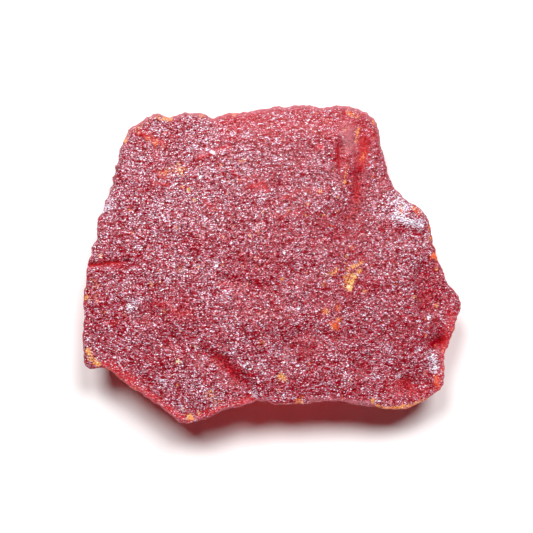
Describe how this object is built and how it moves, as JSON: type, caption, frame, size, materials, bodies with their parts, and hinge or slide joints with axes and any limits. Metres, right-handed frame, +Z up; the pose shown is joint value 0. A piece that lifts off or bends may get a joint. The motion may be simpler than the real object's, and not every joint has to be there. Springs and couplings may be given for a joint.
{
  "type": "realgar specimen",
  "caption": "Hand specimen of massive, fine-grained realgar: a low red slab, broken and chipped all round, with orange and yellow orpiment specks, flat enough below to rest.",
  "frame": {"origin": "on the ground, under the middle of the slab's outline", "axes": "+Z up from the ground, +X along the slab's longest side, +Y towards its straight back edge"},
  "size_m": [0.0605, 0.0508, 0.0133],
  "materials": {
    "realgar": "rough broken mineral, deep red with a fine lilac-white sparkle and orange-yellow specks"
  },
  "bodies": {
    "root": {"realgar": "realgar"}
  },
  "joints": []
}
